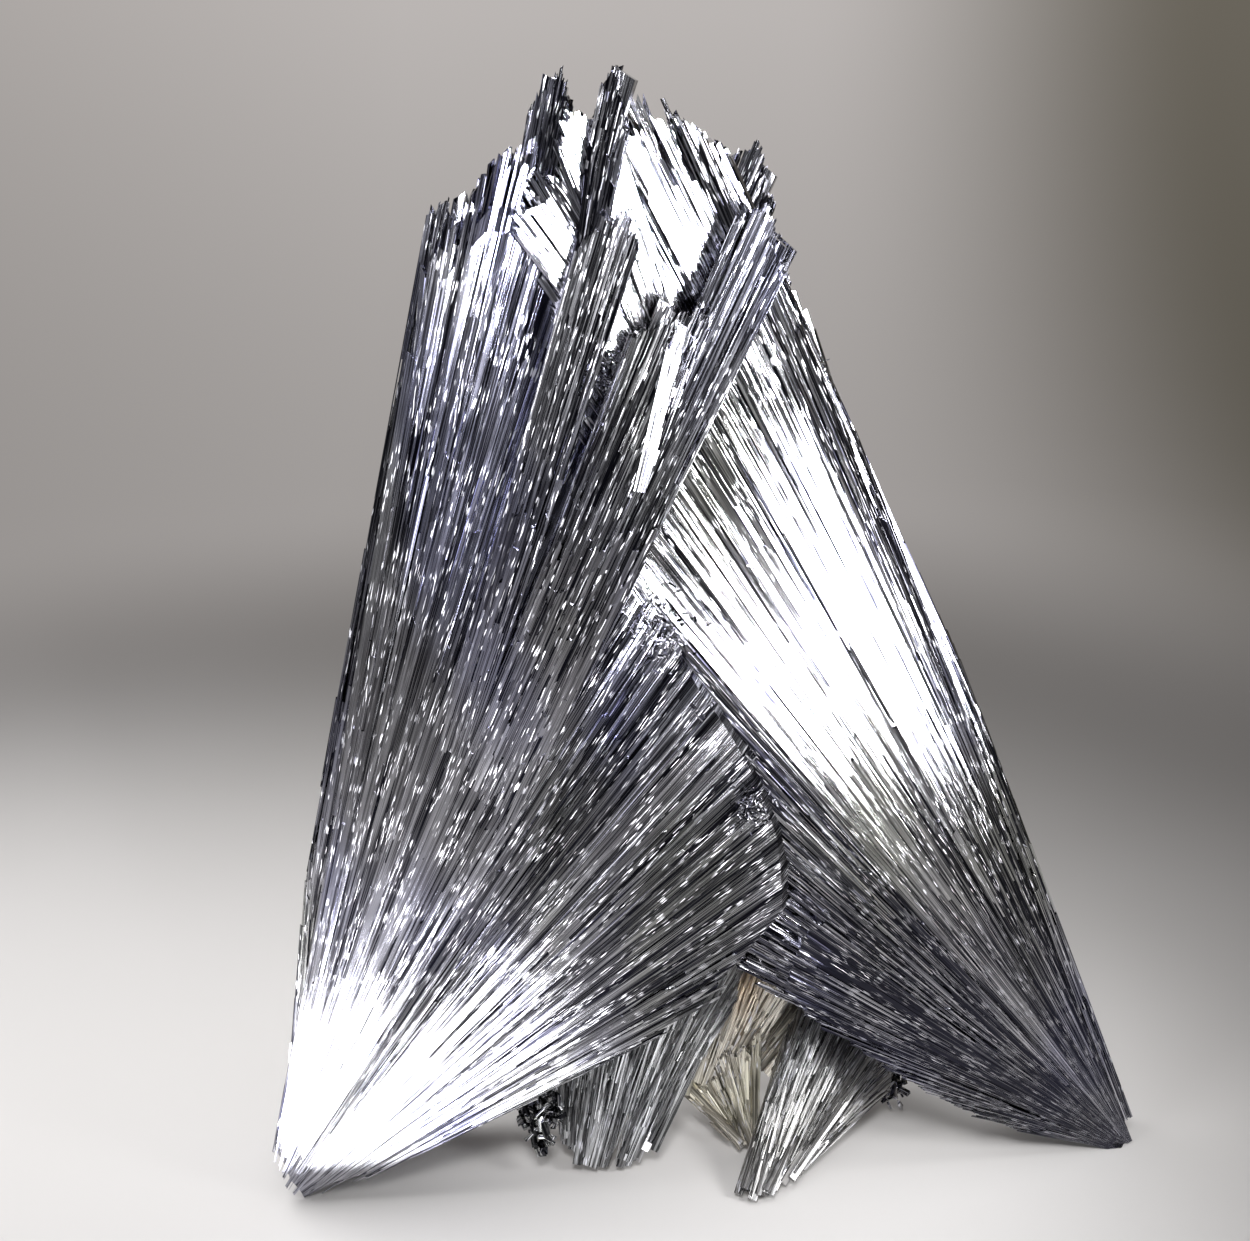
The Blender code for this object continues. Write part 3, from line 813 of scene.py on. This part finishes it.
    def edges(self, seed: int) -> Needles:
        """Grow the needles along the fan's two straight narrow edges.

        Args:
            seed: seed of the growth.

        Returns:
            The needles.
        """
        rng = np.random.default_rng(seed)
        count = self.edge_count
        upper = rng.random(count) < 0.6
        base = np.where(upper, self.high, self.low)
        inward = np.where(upper, -1.0, 1.0)
        limit = table_at(self.reach, base) - rng.uniform(0.0, 2.5, count)
        length = log_even(rng, (3.0, 11.0), count)
        begin = limit * rng.random(count) - 0.3 * length
        begin = np.clip(begin, table_at(self.near, base), limit - 2.0)
        finish = np.minimum(begin + length, limit)
        level = rng.uniform(-0.52, 0.52, count)
        bulge = np.sqrt(np.maximum(0.0, 1.0 - (level / 0.56) ** 2))
        angle = base + inward * (1.2 - 0.9 * bulge)
        start = self.point(angle, begin, level * self.thick_at(begin))
        angle = angle - inward * rng.uniform(0.0, 0.25, count)
        end = self.point(angle, finish, level * self.thick_at(finish))
        across = np.radians(base + 90.0)
        out = np.stack((np.cos(across) * -inward, level * 1.6, np.sin(across) * -inward), axis=1)
        width = (0.14 + 0.005 * finish) * rng.uniform(0.7, 1.7, count)
        thick, roll = width * rng.uniform(0.45, 0.9, count), rng.normal(0.0, 22.0, count)
        slant = rng.uniform(-2.0, 2.0, count)
        # The edge needles' tone, with painted light and shading added.
        tone = np.clip(rng.normal(0.34, 0.16, count) + self.painted_light_at(base, finish), DARKEST, 1.0)
        return Needles(start, end, out, width, thick, roll, slant, tone)


# Studio


@dataclass(frozen=True)
class Softbox:
    """An area lamp."""

    name: str
    place: Triple  # where it stands, in the shared frame's millimetres
    target: Triple  # what it faces
    size: Pair  # width and height
    glow: float  # brightness of its face
    spread: float  # width of its beam

    def build(self) -> None:
        """Add the lamp, turned to its target."""
        lamp = bpy.data.lights.new(self.name, "AREA")
        lamp.shape = "RECTANGLE"
        lamp.size, lamp.size_y = self.size[0] * MM, self.size[1] * MM
        lamp.energy = self.glow * math.pi * lamp.size * lamp.size_y
        lamp.spread = math.radians(self.spread)
        made = link(self.name, lamp)
        made.location = Vector(self.place) * MM
        made.rotation_euler = (Vector(self.target) - Vector(self.place)).to_track_quat("-Z", "Y").to_euler()
        made.visible_camera = False


@dataclass
class Studio:
    """The pale bowl-shaped floor, the lamps, the dim surroundings and the camera."""

    lamps: tuple[Softbox, ...]
    floor_radius: float = 190.0  # the flat floor, in millimetres
    cove_radius: float = 150.0  # the curve round it
    wall_height: float = 420.0  # the wall above the curve
    focal: float = 1646.0  # in pixels
    picture: tuple[int, int] = (1250, 1241)  # width and height
    camera_place: Triple = (-5.725, -101.387, 73.0)  # in the shared frame's millimetres
    pitch: float = 18.0  # how far it looks down
    surround: Triple = (0.11, 0.11, 0.112)
    paper_tints: tuple[Triple, Triple] = ((0.66, 0.645, 0.635), (0.72, 0.705, 0.70))
    # Painted light: the far paper's glow on the left, in the middle, on the right and in front.
    wall_glow_left: Triple = (0.38, 0.356, 0.342)
    wall_glow_middle: Triple = (0.47, 0.443, 0.43)
    wall_glow_right: Triple = (0.135, 0.122, 0.10)
    wall_glow_front: Triple = (0.15, 0.15, 0.153)

    def floor(self) -> None:
        """Add the round floor that curves up into a wall, spun from its profile."""
        bm = bmesh.new()
        profile = [(0.0, 0.0)]
        for turn in (math.radians(degrees) for degrees in range(0, 91, 9)):
            profile.append((self.floor_radius + self.cove_radius * math.sin(turn),
                            self.cove_radius * (1.0 - math.cos(turn))))
        profile.append((self.floor_radius + self.cove_radius, self.wall_height))
        verts = [bm.verts.new((0.0, radius * MM, height * MM)) for radius, height in profile]
        edges = [bm.edges.new(pair) for pair in zip(verts, verts[1:])]
        bmesh.ops.spin(bm, geom=verts + edges, cent=(0, 0, 0), axis=(0, 0, 1), dvec=(0, 0, 0),
                       angle=2.0 * math.pi, steps=96, use_merge=True)
        bmesh.ops.remove_doubles(bm, verts=bm.verts[:], dist=1e-6)
        level = 0.01
        for face in bm.faces:
            face.smooth = True
            outward = face.normal.dot(face.calc_center_median()) > 0
            if face.normal.z < -level or (abs(face.normal.z) <= level and outward):
                face.normal_flip()
        mesh = bpy.data.meshes.new("studio_floor")
        bm.to_mesh(mesh)
        bm.free()
        mesh.materials.append(self.paper())
        floor = link("studio_floor", mesh)

    def paper(self) -> Material:
        """Make the floor's paper: matt and mottled near the piece, glowing with painted light far from it.

        Returns:
            The material.
        """
        made = bpy.data.materials.new("studio_paper")
        made.use_nodes = True
        nodes = Nodes(made.node_tree)
        shader = made.node_tree.nodes["Principled BSDF"]
        place = nodes.add("ShaderNodeTexCoord").outputs["Object"]
        x, y, z = nodes.add("ShaderNodeSeparateXYZ", {0: place}).outputs
        reach = nodes.add("ShaderNodeVectorMath", {0: place}, operation="LENGTH").outputs["Value"]
        mottle = nodes.noise(place, 18.0, 2.0)
        # Where the paper turns from matt into a painted glow.
        far = nodes.span(reach, 0.09, 0.2, smooth=True)
        near = nodes.math("SUBTRACT", 1.0, far)
        matt = nodes.blend(mottle, *self.paper_tints)
        nodes.put(shader.inputs["Base Color"], nodes.blend(near, (0.0, 0.0, 0.0), matt))
        nodes.put(shader.inputs["Roughness"], nodes.span(mottle, 0.3, 0.7, (0.6, 0.75)))
        shader.inputs["Specular IOR Level"].default_value = 0.0
        # Painted light: the glow is bright on the left and in the middle, dim on the right and in front, and
        # brighter higher up.
        wall = nodes.blend(nodes.span(x, -0.16, -0.06), self.wall_glow_left, self.wall_glow_middle)
        wall = nodes.blend(nodes.span(x, 0.035, 0.13, smooth=True), wall, self.wall_glow_right)
        wall = nodes.blend(nodes.span(y, -0.05, 0.14, smooth=True), self.wall_glow_front, wall)
        rise = nodes.span(z, 0.0, 0.09, (0.75, 1.05))
        nodes.put(shader.inputs["Emission Color"], nodes.blend(1.0, wall, rise, "MULTIPLY"))
        nodes.put(shader.inputs["Emission Strength"], far)
        made.cycles.emission_sampling = "NONE"
        return made

    def camera(self) -> None:
        """Add the camera and make it the scene's own."""
        lens = bpy.data.cameras.new("camera")
        lens.sensor_width = 36.0
        lens.lens = self.focal * lens.sensor_width / max(self.picture)
        lens.clip_start, lens.clip_end = 0.005, 5.0
        made = link("camera", lens)
        made.location = Vector(self.camera_place) * MM
        made.rotation_euler = (math.radians(90.0 - self.pitch), 0.0, 0.0)
        bpy.context.scene.camera = made

    def world(self) -> None:
        """Set the dim even surroundings."""
        world = bpy.data.worlds.new("surroundings")
        world.use_nodes = True
        world.node_tree.nodes["Background"].inputs["Color"].default_value = (*self.surround, 1.0)
        bpy.context.scene.world = world
        bpy.context.scene.view_settings.view_transform = "Standard"

    def build(self) -> None:
        """Build the whole studio."""
        self.world()
        self.camera()
        self.floor()
        for lamp in self.lamps:
            lamp.build()
        LOG.info("studio: %d lamps", len(self.lamps))


LAMPS = (
    Softbox("key_right", (34.0, -56.0, 25.0), (11.0, -3.0, 40.0), (34.0, 28.0), 4.4, 56.0),
    Softbox("key_top", (28.0, -90.0, 66.0), (-2.0, -3.0, 66.0), (20.0, 36.0), 18.0, 50.0),
    Softbox("key_low", (57.0, -38.0, 53.0), (9.0, 2.0, 5.0), (30.0, 30.0), 1.3, 50.0),
    Softbox("fill_low", (-5.0, -75.0, 92.0), (5.0, 7.0, 8.0), (30.0, 20.0), 2.4, 40.0),
    Softbox("fill_left", (-100.0, -90.0, 62.0), (-12.0, -3.0, 45.0), (60.0, 60.0), 1.0, 60.0),
    Softbox("floor_glow", (-34.0, -17.5, 0.6), (-34.0, -17.5, 20.0), (54.0, 17.0), 26.0, 120.0),
    Softbox("low_left", (-90.0, 14.0, 130.0), (-62.0, 2.0, 0.0), (90.0, 90.0), 1.8, 76.0),
    Softbox("overhead", (20.0, -10.0, 190.0), (16.0, -4.0, 0.0), (70.0, 50.0), 0.6, 50.0),
)


# Specimen


# Painted light and shading: both fans are the same stibnite, with the left fan's finish painted darker and
# the right fan's painted brighter.
LEFT_METAL_PAINTED_DARKER = MetalFinish("left_metal", "left_fan", (0.022, 0.022, 0.034), (0.52, 0.52, 0.56))
RIGHT_METAL_PAINTED_BRIGHTER = MetalFinish("right_metal", "right_fan", (0.03, 0.03, 0.042), (0.78, 0.78, 0.82),
                          first_share=0.4, rough=(0.05, 0.13))
SPRAY_METAL = MetalFinish("spray_metal", "lower_sprays", (0.14, 0.14, 0.142), (0.66, 0.66, 0.67),
                          first=(1.0, 0.97, 0.92), second=(0.9, 0.93, 1.0), rough=(0.22, 0.4))
STAINED_METAL = MetalFinish("stained_metal", "stained_crystals", (0.25, 0.23, 0.2), (0.84, 0.8, 0.72),
                            first=(1.0, 0.81, 0.62), first_share=0.9, rough=(0.3, 0.6))

LEFT_BLADES = (
    Blade(2.6, 7.0, ((-29.4, -0.8, 3.0), (-26.9, -0.6, 22.0), (-16.4, 0.3, 67.0)), 500, 0.4),
    Blade(2.4, 4.0, ((-16.5, 0.2, 45.0), (-10.2, 0.4, 74.2)), 300, 0.2),
    Blade(2.2, 2.0, ((-8.6, -5.0, 63.0), (-7.6, -6.2, 69.0), (-6.3, -6.3, 74.0)), 220, 0.08, roll=-8.0),
    Blade(3.6, 2.8, ((-15.0, 4.6, 32.0), (-10.0, 5.4, 44.0), (-0.4, 6.0, 67.6)), 300, 0.25, roll=-9.0),
    Blade(3.8, 2.8, ((-13.5, 4.8, 32.0), (-8.0, 5.6, 44.0), (2.6, 6.4, 69.6)), 320, 0.2, roll=-9.0),
    Blade(4.0, 2.8, ((-12.0, 4.7, 30.0), (-6.6, 5.8, 42.0), (4.0, 6.4, 65.0)), 320, 0.15, roll=-9.0),
    Blade(3.4, 2.2, ((-19.0, -3.4, 28.0), (-12.2, -5.4, 49.0), (-6.6, -6.3, 67.0)), 420, 0.5),
    Blade(4.6, 2.2, ((-17.8, -3.2, 26.0), (-9.6, -5.6, 45.0), (-2.8, -6.2, 61.8)), 520, 0.54),
    Blade(1.1, 1.0, ((-5.6, -6.6, 50.6), (-4.6, -6.9, 54.4), (-3.2, -7.1, 60.6)), 200, 0.5, 0.5, roll=10.0),
    Blade(0.9, 0.9, ((-4.9, -6.6, 52.2), (-3.9, -7.0, 55.4), (-2.5, -7.1, 59.8)), 160, 0.4, 0.4, roll=8.0),
    Blade(0.7, 0.5, ((-5.2, -5.2, 43.4), (-9.5, -5.8, 50.2)), 46, 0.9, 0.8, roll=6.0),
    Blade(0.5, 0.4, ((-4.0, -5.0, 43.6), (-7.8, -5.9, 49.0)), 36, 0.9, 0.8, roll=6.0),
    Blade(4.0, 2.2, ((-16.2, -3.2, 25.0), (-6.6, -5.8, 47.0), (2.2, -6.0, 66.6)), 520, 0.62, roll=-6.0),
)
RIGHT_BLADES = (
    Blade(3.0, 5.8, ((29.4, 3.4, 2.0), (14.6, 1.6, 36.4), (-3.4, -0.4, 72.0)), 600, 0.3),
    Blade(3.2, 2.0, ((0.0, -1.0, 50.0), (-5.0, -4.0, 57.0), (-12.2, -5.0, 67.0)), 420, 0.8, roll=7.0),
    Blade(3.6, 2.0, ((-1.0, -0.6, 48.0), (-4.0, -4.0, 58.0), (-9.2, -5.0, 72.0)), 460, 0.8, roll=7.0),
)

LOWER_LEFT = Spray(
    ((-11.2, 0.8, 3.6), (-10.4, -0.6, 1.6), (-9.2, -1.4, 0.6), (-8.0, -1.6, 0.4), (-6.9, -1.6, 0.5),
     (-5.6, -1.0, 1.3), (-3.6, 0.2, 2.8)),
    ((-12.6, 3.8, 7.8), (-9.6, 4.2, 12.0), (-5.6, 6.4, 14.6), (-2.2, 7.8, 16.2), (0.6, 8.1, 16.6),
     (2.4, 8.0, 14.4), (2.8, 7.4, 10.6)),
    bend=(-0.5, -0.6, 0.2), count=3400, tone=0.36, needle=(0.1, 0.32))
LOWER_RIGHT = Spray(
    ((1.8, -4.3, 0.5), (2.6, -4.5, 0.4), (3.4, -4.4, 0.4), (4.6, -3.2, 0.5), (6.4, -1.4, 0.7)),
    ((6.0, 5.0, 8.4), (8.4, 6.2, 11.4), (11.2, 7.0, 11.0), (13.6, 7.0, 8.0), (14.0, 6.2, 3.0)),
    bend=(-0.3, -0.4, 0.4), count=3400, tone=0.2, needle=(0.1, 0.32))
STAINED = Spray(
    ((-2.0, 2.6, 3.6), (-0.8, 3.2, 4.2), (1.4, 4.2, 4.6), (4.4, 5.4, 3.8), (8.0, 6.4, 2.4)),
    ((0.0, 8.4, 14.2), (3.4, 8.6, 14.0), (7.4, 8.7, 12.6), (10.8, 8.7, 9.6), (12.6, 8.2, 4.6)),
    bend=(0.4, 0.0, 0.5), count=1900, tone=0.36, thick=1.6, needle=(0.16, 0.5))
STAINED_NEEDLES = Spray(
    ((2.1, 0.7, 0.5), (2.5, 0.6, 0.4), (2.9, 0.9, 0.6)),
    ((-2.6, 3.0, 4.2), (-1.4, 3.6, 5.0), (1.8, 4.2, 6.6), (3.4, 4.6, 8.2)),
    bend=(0.0, 0.0, 0.0), count=420, tone=0.1, thick=0.8)

LEFT_FLAKES = (Flakes((-12.4, -0.4, 4.4), (1.5, 1.8, 2.4), 260, (0.25, 0.8), 0.25),
               Flakes((-7.8, -5.2, 57.4), (1.0, 0.4, 1.9), 120, (0.08, 0.22), 0.5, (0.12, 0.4)),
               Flakes((1.6, -4.6, 29.4), (1.5, 0.3, 1.6), 160, (0.08, 0.2), 0.15, (0.15, 0.5)))
RIGHT_FLAKES = (Flakes((5.4, -0.5, 55.2), (0.7, 1.0, 2.4), 160, (0.1, 0.3), 0.8, (0.15, 0.4)),
                Flakes((-4.2, -4.9, 41.4), (2.4, 0.3, 3.2), 120, (0.08, 0.26), 0.15, (0.15, 0.6)),
                Flakes((9.4, 6.6, 8.4), (1.2, 0.8, 3.0), 150, (0.2, 0.6), 0.1, (0.4, 1.6)),
                Flakes((13.2, 6.0, 2.0), (1.3, 1.0, 1.3), 90, (0.25, 0.7), 0.15))

RIGHT = Fan(
    "right_fan", 2, RIGHT_METAL_PAINTED_BRIGHTER, root=(30.9, 3.5, -0.9), yaw=0.114, thick=(3.6, 5.2),
    reach=((113.6, 62.0), (114.8, 76.0), (115.8, 82.0), (117.5, 82.5), (120.0, 83.5), (122.5, 80.5),
           (124.5, 74.0), (127.0, 67.0), (129.5, 60.5), (131.5, 52.0), (134.0, 44.0), (138.0, 37.5),
           (144.0, 36.5), (149.5, 35.5), (151.5, 27.0), (156.0, 19.0), (161.0, 11.0)),
    near=((113.6, 1.2), (161.0, 1.2)),
    lean=((113.6, -0.3), (115.4, -0.2), (116.2, 0.0), (128.6, 0.0), (130.4, -0.2), (161.0, -0.2)),
    # Painted shading: the right fan's strips are painted darker at its first edge, past 130 degrees and at
    # its root.
    tone_and_painted_light=((113.6, -0.34), (116.2, -0.05), (128.6, -0.02), (130.4, -0.5), (161.0, -0.54)),
    painted_root_shading=0.6, columns=430, rim_count=900, edge_count=900, blades=RIGHT_BLADES, flakes=RIGHT_FLAKES)
LEFT = Fan(
    "left_fan", 1, LEFT_METAL_PAINTED_DARKER, root=(-31.9, -1.0, -2.8), yaw=0.08, thick=(7.5, 9.0),
    reach=((29.0, 34.5), (31.0, 41.5), (34.0, 48.0), (40.0, 51.0), (46.0, 53.0), (53.0, 55.0), (58.0, 57.0),
           (62.0, 61.0), (65.0, 65.0), (68.0, 72.0), (71.0, 77.0), (75.5, 75.5), (76.6, 73.0), (77.6, 70.5)),
    near=((29.0, 10.5), (33.0, 7.5), (40.0, 4.4), (60.0, 5.0), (77.6, 7.2)),
    lean=((29.0, -0.1), (60.0, -0.1), (66.0, -0.02), (70.0, 0.0), (74.0, 0.05), (77.6, 0.05)),
    # Painted light: the left fan's strips are painted brighter past 70 degrees and at its root, a little
    # darker near 50 degrees.
    tone_and_painted_light=((29.0, 0.0), (50.0, -0.06), (70.0, 0.04), (75.0, 0.26), (77.6, 0.26)),
    painted_root_shading=-0.12, columns=460, rim_count=1200, edge_count=1100, blades=LEFT_BLADES, flakes=LEFT_FLAKES,
    crossed_by=RIGHT)


class Specimen:
    """The whole crystal spray, built piece by piece over the plain nodes."""

    def __init__(self) -> None:
        """Make the shapes that the pieces share."""
        self.needle = NeedleShape(sides=4, flare=0.7, joints=2)
        self.plate = NeedleShape(sides=4, flare=1.0, joints=0)
        self.grown = 0  # pieces so far, which is the seed of the last one's grain

    def grow(self, name: str, rows: Needles, finish: MetalFinish, stands_for: str = "",
             grain_at: Callable[[Array], Array] | None = None, plates: bool = False) -> None:
        """Add a piece made of needles, less those that would reach the floor.

        Args:
            name: the piece's name.
            rows: its needles.
            finish: its finish.
            stands_for: the plain node that it replaces, if any.
            grain_at: gives places their grain, where it runs on from needle to needle.
            plates: whether they are small broken plates.
        """
        self.grown += 1
        shape = self.plate if plates else self.needle
        keep = np.linalg.norm(rows.end - rows.start, axis=1) > (0.0 if plates else SHORTEST)
        rows = rows.only(keep & (rows.end[:, 2] > LOWEST) & (rows.start[:, 2] > LOWEST))
        add_piece(name, shape.mesh(name, rows, self.grown, grain_at), finish, stands_for)

    def build_fan(self, fan: Fan) -> None:
        """Build one fan: core, faces, rim with edges, blades and broken plates.

        Args:
            fan: the fan.
        """
        name, metal, seed = fan.name, fan.finish, 10 * fan.number
        add_piece(name + "_core", fan.core(seed + 5), metal, name)
        front = fan.face(Side.FRONT, seed + 1)
        rim = Needles.joined((fan.rim(seed + 3), fan.edges(seed + 4)))
        if fan.crossed_by:
            covers = fan.crossed_by.covers
            front = front.only(~(covers(front.end) | covers((front.start + front.end) / 2)))
            depth = (rim.start + rim.end)[:, 1] / 2
            rim = rim.only(~(covers(rim.end) & (depth > CROSSED[0]) & (depth < CROSSED[1])))
        back = fan.face(Side.BACK, seed + 2)
        blades, flakes = (Needles.joined([part.needles(first + k) for k, part in enumerate(parts)])
                          for first, parts in ((10 * seed, fan.blades), (10 * seed + 50, fan.flakes)))
        self.grow(name + "_front", front, metal, grain_at=fan.grain)
        self.grow(name + "_back", back, metal, grain_at=fan.grain)
        self.grow(name + "_rim", rim, metal)
        self.grow(name + "_blades", blades, metal)
        self.grow(name + "_glints", flakes, metal, plates=True)

    def build_sprays(self) -> None:
        """Build the two small sprays and the stained crystals."""
        self.grow("lower_left_needles", LOWER_LEFT.needles(31), SPRAY_METAL, "lower_left_spray")
        self.grow("lower_right_needles", LOWER_RIGHT.needles(32), SPRAY_METAL, "lower_right_spray")
        stained = Needles.joined((STAINED.needles(33), STAINED_NEEDLES.needles(34)))
        self.grow("stained_needles", stained, STAINED_METAL, "stained_crystals")


def main() -> None:
    """Build the specimen and its studio in the shared frame."""
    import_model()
    specimen = Specimen()
    for fan in (LEFT, RIGHT):
        specimen.build_fan(fan)
    specimen.build_sprays()
    Studio(LAMPS).build()


if __name__ == "__main__":
    main()
